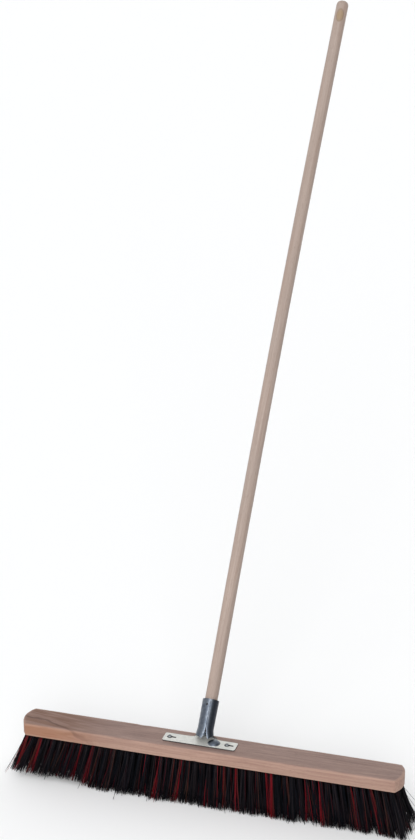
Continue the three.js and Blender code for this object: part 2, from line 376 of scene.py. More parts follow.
def cloud(tree, vector, detail=3.0, distortion=0.0):
    """Soft noise from 0 to 1, with one cycle for each unit of the vector."""
    inputs = {"Vector": vector, "Scale": 1.0, "Detail": detail, "Distortion": distortion}
    return add_node(tree, "ShaderNodeTexNoise", inputs).outputs["Fac"]


def place_along(tree, axis):
    """The place along one axis of the piece's own coordinates."""
    return add_node(tree, "ShaderNodeSeparateXYZ", {0: own_place(tree)}).outputs[axis]


def vertex_value(tree, name):
    """A value that the mesh holds for each vertex."""
    return add_node(tree, "ShaderNodeAttribute", attribute_name=name).outputs["Fac"]


def distance_from(tree, spot, scale):
    """Distance from a spot in the piece's own coordinates, with each axis scaled first."""
    offset = vector_maths(tree, "SUBTRACT", own_place(tree), spot)
    scaled = vector_maths(tree, "MULTIPLY", offset, scale)
    return add_node(tree, "ShaderNodeVectorMath", {0: scaled}, operation="LENGTH").outputs["Value"]


def span(tree, value, low, high, to_low=0.0, to_high=1.0):
    """Maps a value smoothly from low..high to to_low..to_high, and holds it past the ends."""
    inputs = {"Value": value, "From Min": low, "From Max": high, "To Min": to_low, "To Max": to_high}
    return add_node(tree, "ShaderNodeMapRange", inputs, interpolation_type="SMOOTHSTEP").outputs[0]


def facing(tree, axis, away=0.0, towards=1.0):
    """Goes from one value to another as the surface turns to face along "X", "Y" or "Z"."""
    normal = add_node(tree, "ShaderNodeNewGeometry").outputs["Normal"]
    part = add_node(tree, "ShaderNodeSeparateXYZ", {0: normal}).outputs[axis]
    return span(tree, part, 0.4, 0.95, away, towards)


def maths(tree, operation, first, second=0.0):
    """One step of arithmetic on numbers."""
    return add_node(tree, "ShaderNodeMath", {0: first, 1: second}, operation=operation).outputs[0]


def product(tree, first, second):
    """One number times another."""
    return maths(tree, "MULTIPLY", first, second)


def vector_maths(tree, operation, first, second):
    """One step of arithmetic on vectors."""
    return add_node(tree, "ShaderNodeVectorMath", {0: first, 1: second}, operation=operation).outputs[0]


def mixed(tree, factor, first, second, blend="MIX"):
    """Mixes two colours."""
    def four(colour):
        return colour if isinstance(colour, bpy.types.NodeSocket) else (*colour, 1.0)
    inputs = {0: factor, 6: four(first), 7: four(second)}
    return add_node(tree, "ShaderNodeMix", inputs, data_type="RGBA", blend_type=blend).outputs[2]


def coloured(tree, shader, colour, roughness):
    """Gives a shader its colour and roughness."""
    tree.links.new(colour, shader.inputs["Base Color"])
    tree.links.new(roughness, shader.inputs["Roughness"])


def bumped(tree, shader, height, distance, strength):
    """Gives a shader a bump of a height map, up to a distance in metres."""
    inputs = {"Height": height, "Distance": distance, "Strength": strength}
    bump = add_node(tree, "ShaderNodeBump", inputs)
    tree.links.new(bump.outputs[0], shader.inputs["Normal"])


# ------------------------------------------------------------------- materials

def wood_grain(tree, along, across, light, dark, fleck):
    """Wood colour and grain height. along and across are cycles of the grain per metre on the
    first axis and on the other two."""
    bands = cloud(tree, stretched(tree, (along, across, across)), 4.0, 1.2)
    patches = cloud(tree, stretched(tree, (along * 0.6, across * 0.07, across * 0.07)), 2.0, 0.6)
    fibres = cloud(tree, stretched(tree, (along * 3, across * 6, across * 6)), 2.0)
    pores = cloud(tree, stretched(tree, (along * 16, across * 8, across * 8)), 1.0)
    colour = mixed(tree, span(tree, bands, 0.34, 0.68), light, dark)
    colour = mixed(tree, span(tree, patches, 0.35, 0.75, 0.0, 0.55), colour, dark)
    colour = mixed(tree, span(tree, fibres, 0.42, 0.7, 0.0, 0.35), colour, dark)
    pore = span(tree, pores, 0.62, 0.72, 0.0, 0.6)
    colour = mixed(tree, pore, colour, fleck)
    height = maths(tree, "SUBTRACT", product(tree, fibres, 0.6), pore)
    return colour, height


def block_wood():
    """Bare reddish hardwood: dark heartwood at the left end, painted shade on the top and in the
    keyholes, and rubbed edges.
    """
    material, tree, shader = new_material("block_wood")
    colour, height = wood_grain(tree, 7, 190, BLOCK_LIGHT, BLOCK_DARK, BLOCK_FLECK)
    dust = cloud(tree, stretched(tree, (14, 40, 40)), 3.0, 0.4)
    colour = with_heartwood(tree, colour)
    # Painted shade: the wood is darkened where it faces up, by an amount that varies with the noise.
    top = product(tree, facing(tree, "Z"), span(tree, dust, 0.2, 0.8, 0.62, 0.95))
    top_shaded_colour = mixed(tree, 1.0, colour, PAINTED_TOP_SHADE, "MULTIPLY")
    colour = mixed(tree, top, colour, top_shaded_colour)
    # Painted shade on the wood seen through each keyhole round its screw.
    for node in ("holder_screw_left", "holder_screw_right"):
        colour = mixed(tree, slot_shadow(tree, node), colour, KEYHOLE_PAINTED_SHADE)
    rubbed = product(tree, vertex_value(tree, "wear"), span(tree, dust, 0.3, 0.75, 0.1, 0.55))
    colour = mixed(tree, rubbed, colour, RUBBED_WOOD)
    coloured(tree, shader, colour, span(tree, dust, 0.2, 0.8, 0.52, 0.74))
    bumped(tree, shader, height, 0.25 * MM, 0.6)
    return material


def with_heartwood(tree, colour):
    """Adds the heartwood's streaks, its warm tint and one thin dark line to the head's left end."""
    left = span(tree, place_along(tree, "X"), HEARTWOOD_START, HEARTWOOD_FULL)
    streaks = cloud(tree, stretched(tree, (5, 75, 75), (0, 0, math.radians(9))), 3.0, 1.6)
    heart = product(tree, left, span(tree, streaks, 0.44, 0.60, 0.0, 0.9))
    colour = mixed(tree, heart, colour, HEARTWOOD_STREAK)
    warm = product(tree, left, facing(tree, "Z", 0.85, 0.35))
    colour = mixed(tree, warm, colour, HEARTWOOD_TINT)
    inputs = {0: own_place(tree), 1: STREAK_NORMAL}
    across = add_node(tree, "ShaderNodeVectorMath", inputs, operation="DOT_PRODUCT").outputs["Value"]
    wander = span(tree, cloud(tree, stretched(tree, (22, 22, 22)), 2.0), 0.2, 0.8, -5 * MM, 5 * MM)
    depth = maths(tree, "ADD", maths(tree, "SUBTRACT", across, STREAK_OFFSET), wander)
    line = span(tree, maths(tree, "ABSOLUTE", depth), 4 * MM, 1 * MM, 0.0, 0.8)
    return mixed(tree, product(tree, line, left), colour, HEARTWOOD_LINE)


def slot_shadow(tree, screw_node):
    """1 on the wood that shows through the keyhole round a screw, where it gets painted shade, 0
    elsewhere.
    """
    low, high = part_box(screw_node)
    middle = ((low.x + high.x + KEYHOLE_REACH * MM) / 2, (low.y + high.y) / 2, BLOCK_TOP)
    reach = distance_from(tree, middle, (0.62, 1.0, 1.0))
    return span(tree, reach, 9 * MM, 7 * MM, 0.0, 0.9)


def stick_wood():
    """Bare wood worn smooth by hands, with a golden knot near the top and painted shade on its lower
    end inside the socket.
    """
    material, tree, shader = new_material("stick_wood")
    bands = cloud(tree, stretched(tree, (260, 260, 5)), 4.0, 0.8)
    patches = cloud(tree, stretched(tree, (30, 30, 4)), 2.0, 0.8)
    fibres = cloud(tree, stretched(tree, (1300, 1300, 16)), 2.0)
    pores = cloud(tree, stretched(tree, (1700, 1700, 90)), 1.0)
    colour = mixed(tree, span(tree, bands, 0.33, 0.7), STICK_LIGHT, STICK_DARK)
    colour = mixed(tree, span(tree, patches, 0.35, 0.75, 0.0, 0.6), colour, STICK_PATCH)
    colour = mixed(tree, span(tree, fibres, 0.42, 0.72, 0.0, 0.35), colour, STICK_FIBRE)
    pore = span(tree, pores, 0.63, 0.73, 0.0, 0.5)
    colour = mixed(tree, pore, colour, STICK_PORE)
    colour = with_knot(tree, colour)
    # Painted shade: the stick darkens below the socket's depth, inside the sleeve.
    socket_shade = span(tree, place_along(tree, "Z"), SOCKET_DEPTH, SOCKET_DEPTH - 6 * MM, 0.0, 0.92)
    colour = mixed(tree, socket_shade, colour, STICK_SOCKET_SHADE)
    coloured(tree, shader, colour, span(tree, patches, 0.2, 0.8, 0.45, 0.68))
    height = maths(tree, "SUBTRACT", product(tree, fibres, 0.6), pore)
    bumped(tree, shader, height, 0.2 * MM, 0.5)
    return material


def with_knot(tree, colour):
    """Adds an oval knot with a darker rim to the stick's front, near its top."""
    knot_place = (0.1 * STICK_RADIUS, -STICK_RADIUS, STICK_LENGTH - KNOT_BELOW_TOP)
    reach = distance_from(tree, knot_place, (1.0, 1.0, 0.57))
    rings = cloud(tree, stretched(tree, (420, 420, 180)), 2.0, 1.0)
    knot = product(tree, span(tree, reach, 8.5 * MM, 5.5 * MM), span(tree, rings, 0.2, 0.8, 0.75, 1.0))
    colour = mixed(tree, knot, colour, KNOT_WOOD)
    rim = product(tree, span(tree, reach, 10 * MM, 8 * MM), span(tree, reach, 5.5 * MM, 8 * MM))
    return mixed(tree, product(tree, rim, 0.55), colour, KNOT_RIM)


def zinc_plate():
    """Zinc on pressed steel: a pale matt plate, a blue-grey drawn sleeve and boss, with painted shade
    where these face +X.
    """
    material, tree, shader = new_material("holder_zinc")
    spangle = cloud(tree, stretched(tree, (110, 110, 110)), 3.0, 1.0)
    marks = cloud(tree, stretched(tree, (60, 900, 900)), 2.0, 0.2)
    scuffs = cloud(tree, stretched(tree, (260, 420, 260)), 4.0, 0.8)
    dull = vertex_value(tree, "dulled")
    crystals = span(tree, spangle, 0.3, 0.72)
    pale = mixed(tree, crystals, *PLATE_ZINC)
    dark = mixed(tree, crystals, *SLEEVE_ZINC)
    colour = mixed(tree, dull, pale, dark)
    # Painted shade on the sleeve and boss where they face +X.
    side = product(tree, dull, facing(tree, "X", 0.0, 0.9))
    colour = mixed(tree, side, colour, SLEEVE_SHADE)
    scuff_colour = mixed(tree, dull, PLATE_SCUFF, SLEEVE_SCUFF)
    colour = mixed(tree, span(tree, scuffs, 0.58, 0.72, 0.0, 0.45), colour, scuff_colour)
    tree.links.new(span(tree, dull, 0.0, 1.0, 0.35, 0.92), shader.inputs["Metallic"])
    plain_rough = span(tree, spangle, 0.25, 0.75, 0.46, 0.58)
    rough = maths(tree, "SUBTRACT", plain_rough, product(tree, dull, 0.16))
    coloured(tree, shader, colour, rough)
    bumped(tree, shader, maths(tree, "ADD", marks, spangle), 0.05 * MM, 0.5)
    return material


def bare_edge_with_shade():
    """The sheet's bare cut edges: darker bare steel, with painted shade along them."""
    bare_and_shaded_edge = (*BARE_EDGE_WITH_SHADE, 1.0)
    return new_material("holder_bare_edge_with_shade", base_color=bare_and_shaded_edge, roughness=0.5, metallic=0.6)[0]


def zinc_screw():
    """Tarnished zinc on the screws."""
    material, tree, shader = new_material("screw_zinc", metallic=1.0)
    tarnish = cloud(tree, stretched(tree, (700, 700, 700)), 3.0, 0.5)
    colour = mixed(tree, span(tree, tarnish, 0.35, 0.7), SCREW_BRIGHT, SCREW_TARNISH)
    coloured(tree, shader, colour, span(tree, tarnish, 0.3, 0.7, 0.34, 0.5))
    return material


STRAND_COLOURS = {
    "black": (0.0015, 0.0015, 0.0022),
    "blue_black": (0.004, 0.0055, 0.009),
    "soft_black": (0.010, 0.006, 0.009),
    "dusty_black": (0.026, 0.019, 0.022),
    "red": (0.20, 0.007, 0.013),
    "dark_red": (0.075, 0.005, 0.010),
    "red_brown": (0.075, 0.026, 0.019),
    "brown": (0.05, 0.024, 0.017),
}
STRAND_KINDS = list(STRAND_COLOURS)


def strand_materials():
    """One plain matt fibre material for each strand colour. The mix of strands makes the pattern."""
    made = []
    for kind, colour in STRAND_COLOURS.items():
        material, _, shader = new_material(f"bristle_{kind}", base_color=(*colour, 1.0), roughness=0.5)
        shader.inputs["Specular IOR Level"].default_value = 0.08
        made.append(material)
    return made


# ----------------------------------------------------------------- wooden head

END_RADIUS = (HALF_DEPTH ** 2 + END_BULGE ** 2) / (2 * END_BULGE)
END_CENTRE = HALF_LENGTH - END_RADIUS


def end_reach(y):
    """How far the head's end arc reaches along X at a distance y from the middle line."""
    return END_CENTRE + math.sqrt(END_RADIUS ** 2 - y ** 2)


def block_outline(inset):
    """The head's outline seen from above, moved inwards: long sides and an arc at each end."""
    half = HALF_DEPTH - inset
    reach = END_RADIUS - inset
    sweep = math.asin(half / reach)
    side_end = END_CENTRE + reach * math.cos(sweep)
    points = []
    for step in range(SIDE_STEPS):
        points.append((-side_end + 2 * side_end * step / SIDE_STEPS, -half))
    for step in range(END_STEPS):
        angle = -sweep + 2 * sweep * step / END_STEPS
        points.append((END_CENTRE + reach * math.cos(angle), reach * math.sin(angle)))
    return points + [(-x, -y) for x, y in points]


def block_levels():
    """The head's outlines from the bottom up, each as its inset, its rise and its wear."""
    levels = [(EDGE_ROUND + WEAR_BAND, 0.0, 0.0)]
    for step in range(EDGE_STEPS + 1):
        angle = math.pi / 2 * step / EDGE_STEPS
        levels.append((EDGE_ROUND * (1 - math.sin(angle)), EDGE_ROUND * (1 - math.cos(angle)), 1.0))
    levels.append((0.0, EDGE_ROUND + WEAR_BAND, 0.0))
    height = BLOCK_TOP - BLOCK_BOTTOM
    return levels + [(inset, height - rise, wear) for inset, rise, wear in reversed(levels)]


def make_block(material):
    """The head: rounded edges with small dents, and a wear value that is 1 along the edges."""
    half_height = (BLOCK_TOP - BLOCK_BOTTOM) / 2
    rings = []
    wear_values = []
    for inset, rise, wear in block_levels():
        ring = []
        for x, y in block_outline(inset):
            point = Vector((x, y, BLOCK_BOTTOM + rise))
            bump = noise.noise(point * DENTS_PER_METRE) - DENT_THRESHOLD
            dent = max(0.0, bump) * DENT_DEPTH * wear
            inwards = Vector((0, math.copysign(dent, y), math.copysign(dent, rise - half_height)))
            ring.append(point - inwards)
            wear_values.append(wear)
        rings.append(ring)
    mesh = ring_mesh("head_block", rings)
    attribute = mesh.attributes.new("wear", "FLOAT", "POINT")
    attribute.data.foreach_set("value", wear_values)
    mesh.materials.append(material)
    smooth_faces(mesh)
    return add_piece("head_block", mesh)


# -------------------------------------------------------------------- bristles

def trim_height(x):
    """Height of the trimmed tips over the floor."""
    return TIP_CLEARANCE + WORN_TRIM * eased((WORN_FROM - x) / WORN_BAND)


def strand_path(rng, root, offset, lean_x, lean_y, tip_height):
    """Points down one strand: it leans with its tuft, spreads from its middle and curls a little."""
    drop = BLOCK_BOTTOM - tip_height
    curl = WILD_CURL if rng.random() < WILD_CURL_SHARE else CURL
    curl_x = rng.gauss(0, curl)
    curl_y = rng.gauss(0, curl)
    spread = TUFT_SPREAD / HOLE_RADIUS
    path = []
    for step in range(STRAND_SEGMENTS + 1):
        share = step / STRAND_SEGMENTS
        fan = 1 + spread * share ** SPREAD_POWER
        bend = share * share
        x = root.x + offset.x * fan + drop * share * math.tan(lean_x) + curl_x * bend
        y = root.y + offset.y * fan + drop * share * math.tan(lean_y) + curl_y * bend
        path.append(Vector((x, y, BLOCK_BOTTOM - drop * share)))
    path[0].z += ROOT_SUNK
    return path


def add_strand(points, faces, kinds, path, turn, kind):
    """Adds one strand's tapered three-sided prism to the bank's lists."""
    first = len(points)
    last = len(path) - 1
    for step, centre in enumerate(path):
        radius = STRAND_RADIUS + (STRAND_TIP_RADIUS - STRAND_RADIUS) * step / last
        for side in range(STRAND_SIDES):
            angle = turn + 2 * math.pi * side / STRAND_SIDES
            points.append(centre + Vector((math.cos(angle), math.sin(angle), 0)) * radius)
    for step in range(last):
        for side in range(STRAND_SIDES):
            after = (side + 1) % STRAND_SIDES
            low = first + step * STRAND_SIDES
            high = low + STRAND_SIDES
            faces.append((low + after, low + side, high + side, high + after))
            kinds.append(kind)
    top = tuple(first + side for side in range(STRAND_SIDES))
    tip = tuple(first + last * STRAND_SIDES + side for side in reversed(range(STRAND_SIDES)))
    faces.extend((top, tip))
    kinds.extend((kind, kind))


def tuft_patch(rng, row, tuft):
    """The coloured patch of a tuft, as its colours, its middle and its radius, or None."""
    if row == 0 and tuft in FRONT_RED_TUFTS:
        colours = RED_PATCH
    elif row == 0 and tuft in FRONT_BROWN_TUFTS:
        colours = BROWN_PATCH
    elif row > 0 and rng.random() < BACK_PATCH_SHARE:
        colours = BACK_PATCH
    else:
        return None
    angle = rng.uniform(0, 2 * math.pi) if row else rng.uniform(math.pi, 2 * math.pi)
    middle = Vector((math.cos(angle), math.sin(angle))) * HOLE_RADIUS * PATCH_REACH
    return colours, middle, HOLE_RADIUS * rng.uniform(*PATCH_RADIUS)


def strand_kind(rng, offset, patch):
    """The number of a strand's colour: mostly its patch's within the patch, and black elsewhere."""
    if patch is not None:
        colours, middle, radius = patch
        if (offset.xy - middle).length < radius and rng.random() < PATCH_COLOUR_SHARE:
            return STRAND_KINDS.index(rng.choice(colours))
    mix = STRAY_MIX if rng.random() < STRAY_COLOUR_SHARE else BLACK_MIX
    return STRAND_KINDS.index(rng.choice(mix))


def cut_short(rng):
    """How far above the trimmed line a strand ends."""
    missing = abs(rng.gauss(0, STRAND_TRIM_JITTER))
    if rng.random() < SHORT_SHARE:
        missing += rng.uniform(*SHORT_BY)
    return missing


def end_stray(rng, x):
    """Extra outward lean of a strand in the tufts at the head's ends, now and then a large one."""
    wild = rng.random() < WILD_SHARE
    degrees = rng.uniform(*WILD_STRAY) if wild else abs(rng.gauss(0, END_STRAY_JITTER))
    return math.copysign(math.radians(degrees), x)


def add_tuft(points, faces, kinds, rng, row, tuft):
    """Adds one tuft's strands to the bank's lists."""
    outwards = (row - MIDDLE_ROW) / MIDDLE_ROW
    row_y = (row - MIDDLE_ROW) * ROW_PITCH
    row_end = end_reach(row_y) - ROW_END_INSET
    pitch = 2 * row_end / (BANKS_PER_ROW * TUFTS_PER_BANK)
    stagger = pitch / 4 * (1 if row % 2 else -1)
    along = -row_end + pitch * (tuft + 0.5) + stagger + rng.gauss(0, PLACE_JITTER)
    root = Vector((along, row_y + rng.gauss(0, PLACE_JITTER), BLOCK_BOTTOM))
    end_lean = INNER_END_LEAN + (END_LEAN - INNER_END_LEAN) * abs(outwards)
    lean_x = end_lean * root.x / HALF_LENGTH + rng.gauss(0, LEAN_X_JITTER)
    lean_y = OUTER_ROW_LEAN * outwards + rng.gauss(0, LEAN_Y_JITTER)
    patch = tuft_patch(rng, row, tuft)
    trim = trim_height(root.x) + abs(rng.gauss(0, TUFT_TRIM_JITTER))
    at_end = abs(root.x) > row_end - END_TUFTS * pitch
    for _ in range(STRANDS_PER_TUFT):
        angle = rng.uniform(0, 2 * math.pi)
        reach = HOLE_RADIUS * math.sqrt(rng.random())
        offset = Vector((reach * math.cos(angle), reach * math.sin(angle), 0))
        tip_height = trim + cut_short(rng)
        stray = end_stray(rng, root.x) if at_end else 0.0
        path = strand_path(rng, root, offset, lean_x + stray, lean_y, tip_height)
        turn = rng.uniform(0, math.pi)
        kind = strand_kind(rng, offset, patch)
        add_strand(points, faces, kinds, path, turn, kind)


def make_bank(row, bank, materials):
    """All the strands of one bank of tufts, as one piece."""
    rng = random.Random(SEED * 1000 + row * 100 + bank)
    points = []
    faces = []
    kinds = []
    for place in range(TUFTS_PER_BANK):
        add_tuft(points, faces, kinds, rng, row, bank * TUFTS_PER_BANK + place)
    name = f"tufts_row_{row + 1}_bank_{bank + 1:02d}"
    mesh = bpy.data.meshes.new(name)
    mesh.from_pydata(points, [], faces)
    for material in materials:
        mesh.materials.append(material)
    mesh.polygons.foreach_set("material_index", kinds)
    mesh.shade_smooth()
    return add_piece(name, mesh)


# --------------------------------------------------------------- handle holder

def rear_line(height):
    """Place on the sleeve's rear wall at a height along its axis, as (y, z) in the holder's frame."""
    y = REAR_RADIUS * math.cos(SLEEVE_TILT) + height * math.sin(SLEEVE_TILT)
    z = -REAR_RADIUS * math.sin(SLEEVE_TILT) + height * math.cos(SLEEVE_TILT)
    return y, z


# The bend between plate and sleeve: its angle, how far it reaches each way from where a sharp bend
# would be, its arc's length, the sharp bend's height up the sleeve, and the place on the plate where
# the bend begins. BACK_V is the plate's back edge on the blank.
BEND_ANGLE = math.pi / 2 - SLEEVE_TILT
BEND_REACH = BEND_RADIUS * math.tan(BEND_ANGLE / 2)
BEND_ARC = BEND_RADIUS * BEND_ANGLE
BEND_HEIGHT = (REAR_RADIUS * math.sin(SLEEVE_TILT) - SHEET / 2) / math.cos(SLEEVE_TILT)
BEND_START = rear_line(BEND_HEIGHT)[0] - BEND_REACH
BACK_V = PLATE_BACK - BEND_START


def sleeve_height(v):
    """Height along the sleeve's axis of a line of the blank."""
    return v - BEND_ARC + BEND_HEIGHT + BEND_REACH


def blank_at(height):
    """The line of the blank at a height along the sleeve's axis."""
    return height + BEND_ARC - BEND_HEIGHT - BEND_REACH


def sleeve_radius(v):
    """Radius of the middle of the sleeve's sheet, which widens towards the rim."""
    share = min(max(sleeve_height(v) / SLEEVE_LENGTH, 0.0), 1.0)
    return REAR_RADIUS + (RIM_RADIUS - REAR_RADIUS) * share


def section(u, v, is_neck):
    """Across the sheet at v: (x, distance forward of the rear wall). The section is flat at the back
    and rolled at the sides. Low down it is flatter and squeezed, so that the sleeve's foot flares."""
    flare = (1 - min(max((v - WING_FRONT_V) / (FLARE_TOP - WING_FRONT_V), 0.0), 1.0)) ** FLARE_POWER
    flat = FLARE_FLAT * flare
    radius = sleeve_radius(v) * (1 - FLARE_SQUEEZE * flare)
    if is_neck:
        flat += FILLET_START * (1 - min(max(v / NOTCH_V, 0.0), 1.0)) ** 2
    if abs(u) <= flat:
        return u, 0.0
    angle = (abs(u) - flat) / radius
    side = math.copysign(1, u)
    return side * (flat + radius * math.sin(angle)), radius * (1 - math.cos(angle))


def boss_height(u, y):
    """Rise of the pressed round boss over the plate."""
    distance = math.hypot(u - BOSS_X, y - BOSS_Y) / BOSS_RADIUS
    if distance >= 1:
        return 0.0
    return BOSS_HEIGHT * (1 - distance ** 2) ** BOSS_POWER


def droop(u, v):
    """How far the sleeve's front foot is drawn down below its place on the flat blank."""
    frontness = eased((abs(u) - NOTCH_X - NOTCH_ROUND) / NOTCH_X)
    return DROOP * frontness * max(0.0, 1 - v / DROOP_TOP) ** DROOP_POWER


def below_notch(u, v):
    """Whether a point of the blank belongs to the neck below the notches and not to a wing."""
    past_notch = max(0.0, abs(u) - NOTCH_X - NOTCH_ROUND)
    return v < NOTCH_V - NOTCH_SLOPE * past_notch


def bent(u, v):
    """Where a point of the flat blank lies on the finished holder, in the holder's frame."""
    if v <= BACK_V + SAME_LINE:
        y = BEND_START + v
        return Vector((u, y, -SHEET / 2 + boss_height(u, y)))
    is_neck = below_notch(u, v)
    x, forward = section(u, v, is_neck)
    angle = BEND_ANGLE
    y, z = rear_line(sleeve_height(v) - droop(u, v))
    if v < BEND_ARC and is_neck:
        angle = v / BEND_RADIUS
        y = BEND_START + BEND_RADIUS * math.sin(angle)
        z = -SHEET / 2 + BEND_RADIUS * (1 - math.cos(angle))
    return Vector((x, y - forward * math.sin(angle), z + forward * math.cos(angle)))


def dulled(u, v):
    """1 on the dark drawn sleeve and boss, 0 on the bright flat plate."""
    if v <= 0:
        return eased(boss_height(u, BEND_START + v) / BOSS_DULL_RISE)
    if not below_notch(u, v) and abs(u) > NOTCH_X:
        return 1.0
    return eased(v / DULL_RISE)


def arc_points(centre, radii, start, end, steps):
    """Points on an ellipse's arc, with angles in degrees."""
    points = []
    for step in range(steps + 1):
        angle = math.radians(start + (end - start) * step / steps)
        points.append((centre[0] + radii[0] * math.cos(angle), centre[1] + radii[1] * math.sin(angle)))
    return points


def wing_points(side, rim_v):
    """One side of the blank from the plate's back edge round the notch and up to the rim."""
    seam = math.pi - SEAM_ANGLE if side > 0 else math.pi + SEAM_ANGLE
    low_edge = seam * sleeve_radius(WING_FRONT_V) - SEAM_GAP / 2
    high_edge = seam * sleeve_radius(rim_v) - SEAM_GAP / 2
    fillet = (FILLET_START - NOTCH_X, NOTCH_V - BACK_V)
    wing_start = NOTCH_X + NOTCH_ROUND
    points = arc_points((FILLET_START, NOTCH_V), fillet, 270, 180, 10)
    points += arc_points((wing_start, NOTCH_V), (NOTCH_ROUND, WING_V - NOTCH_V), 180, 90, 4)[1:]
    wing_run = low_edge - WING_CORNER - wing_start
    for step in range(1, WING_STEPS):
        share = step / WING_STEPS
        fall = (WING_V - WING_FRONT_V) * share ** WING_POWER
        points.append((wing_start + wing_run * share, WING_V - fall))
    foot_corner = (low_edge - WING_CORNER, WING_FRONT_V + WING_CORNER)
    points += arc_points(foot_corner, (WING_CORNER, WING_CORNER), 270, 360, 4)
    rim_corner = (high_edge - RIM_CORNER, rim_v - RIM_CORNER)
    points += arc_points(rim_corner, (RIM_CORNER, RIM_CORNER), 0, 90, 4)
    return [(side * u, v) for u, v in points]


def blank_outline():
    """The flat blank's outer edge: the plate with its round corners, the neck and both wings."""
    rim_v = blank_at(SLEEVE_LENGTH)
    shift = -BEND_START
    quarter = (PLATE_CORNER, PLATE_CORNER)
    left = PLATE_LEFT + PLATE_CORNER
    right = PLATE_RIGHT - PLATE_CORNER
    front = PLATE_FRONT + PLATE_CORNER + shift
    back = PLATE_BACK - PLATE_CORNER + shift
    outline = arc_points((left, front), quarter, 180, 270, 6)
    outline += arc_points((right, front), quarter, 270, 360, 6)
    outline += arc_points((right, back), quarter, 0, 90, 6)
    outline += wing_points(1, rim_v)
    outline += list(reversed(wing_points(-1, rim_v)))
    outline += arc_points((left, back), quarter, 90, 180, 6)
    return outline


def blank_holes():
    """Two keyholes in the plate and the nail hole in the sleeve, on the flat blank."""
    holes = []
    opening = math.degrees(math.asin(KEYHOLE_NECK / 2 / KEYHOLE_RADIUS))
    for x in KEYHOLES:
        v = KEYHOLE_Y - BEND_START
        hole = arc_points((x, v), (KEYHOLE_RADIUS, KEYHOLE_RADIUS), opening, 360 - opening, 28)
        neck = (KEYHOLE_NECK / 2, KEYHOLE_NECK / 2)
        hole += arc_points((x + KEYHOLE_REACH, v), neck, -90, 90, 10)
        holes.append(hole)
    nail_v = blank_at(SLEEVE_LENGTH - NAIL_BELOW_RIM)
    nail_u = -(math.pi + NAIL_ANGLE) * sleeve_radius(nail_v)
    holes.append(arc_points((nail_u, nail_v), (NAIL_RADIUS, NAIL_RADIUS), 0, 342, 19))
    return holes


def filled(outlines):
    """A flat mesh inside the first outline and outside the others."""
    curve = bpy.data.curves.new("blank", "CURVE")
    curve.dimensions = "2D"
    curve.fill_mode = "BOTH"
    for outline in outlines:
        spline = curve.splines.new("POLY")
        spline.points.add(len(outline) - 1)
        for point, (u, v) in zip(spline.points, outline):
            point.co = (u, v, 0, 1)
        spline.use_cyclic_u = True
    carrier = add_piece("blank", curve)
    graph = bpy.context.evaluated_depsgraph_get()
    mesh = bpy.data.meshes.new_from_object(carrier.evaluated_get(graph))
    bpy.data.objects.remove(carrier)
    return mesh


def cut_into_grid(sheet):
    """Cuts a flat mesh along lines that are BLANK_STEP apart both ways."""
    for axis in (0, 1):
        places = [vertex.co[axis] for vertex in sheet.verts]
        low = min(places)
        normal = Vector((1 - axis, axis, 0))
        for step in range(1, int((max(places) - low) / BLANK_STEP) + 1):
            whole = sheet.verts[:] + sheet.edges[:] + sheet.faces[:]
            place = normal * (low + step * BLANK_STEP)
            bmesh.ops.bisect_plane(sheet, geom=whole, plane_co=place, plane_no=normal, dist=SAME_CUT)


def weld_slivers(sheet):
    """Joins inner points that nearly touch the edge to it, and takes out the faces left too thin."""
    edge_points = KDTree(len(sheet.verts))
    for index, vertex in enumerate(sheet.verts):
        if vertex.is_boundary:
            edge_points.insert(vertex.co, index)
    edge_points.balance()
    sheet.verts.ensure_lookup_table()
    welds = {}
    for vertex in sheet.verts:
        if not vertex.is_boundary:
            _, index, distance = edge_points.find(vertex.co)
            if distance < SLIVER:
                welds[vertex] = sheet.verts[index]
    bmesh.ops.weld_verts(sheet, targetmap=welds)
    bmesh.ops.remove_doubles(sheet, verts=sheet.verts, dist=SLIVER / 2)
    bmesh.ops.dissolve_degenerate(sheet, edges=sheet.edges, dist=SLIVER / 5)


def flat_blank():
    """The blank as a flat mesh, cut into a fine grid so that it can be bent."""
    sheet = bmesh.new()
    sheet.from_mesh(filled([blank_outline(), *blank_holes()]))
    bmesh.ops.remove_doubles(sheet, verts=sheet.verts, dist=SAME_POINT)
    cut_into_grid(sheet)
    weld_slivers(sheet)
    return sheet


def make_holder(material, edge_material):
    """The holder: the flat blank bent to shape and given its thickness."""
    low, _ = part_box("handle_holder")
    origin = Vector((low.x - PLATE_LEFT * MM, low.y - PLATE_FRONT * MM, low.z + SHEET * MM))
    sheet = flat_blank()
    dull = sheet.verts.layers.float.new("dulled")
    for vertex in sheet.verts:
        vertex[dull] = dulled(vertex.co.x, vertex.co.y)
        vertex.co = bent(vertex.co.x, vertex.co.y) * MM
    mesh = bpy.data.meshes.new("pressed_holder")
    sheet.to_mesh(mesh)
    sheet.free()
    mesh.materials.append(material)
    mesh.materials.append(edge_material)
    piece = add_piece("pressed_holder", mesh)
    shell = piece.modifiers.new("thickness", "SOLIDIFY")
    shell.thickness = SHEET * MM
    shell.offset = 0.0
    shell.use_even_offset = False
    shell.material_offset_rim = 1
    baked(piece)
    piece.matrix_world = Matrix.Translation(origin)
    smooth_faces(piece.data, 40)
    return piece


# ----------------------------------------------------------------------- stick

def stick_ring(height, scale):
    """The stick's outline at a height along its axis, a little uneven and shifted by its bow."""
    bowed_share = min(max((height / STICK_LENGTH - BOW_FROM) / (1 - BOW_FROM), 0.0), 1.0)
    bow = -STICK_BOW * math.sin(math.pi * bowed_share)
    ring = []
    for side in range(STICK_SIDES):
        angle = 2 * math.pi * side / STICK_SIDES
        out = Vector((math.cos(angle), math.sin(angle), 0))
        uneven = noise.noise(Vector((out.x, out.y, height * 9))) * STICK_UNEVENNESS
        ring.append(out * (STICK_RADIUS + uneven - STICK_PLAY) * scale + Vector((bow, 0, height)))
    return ring


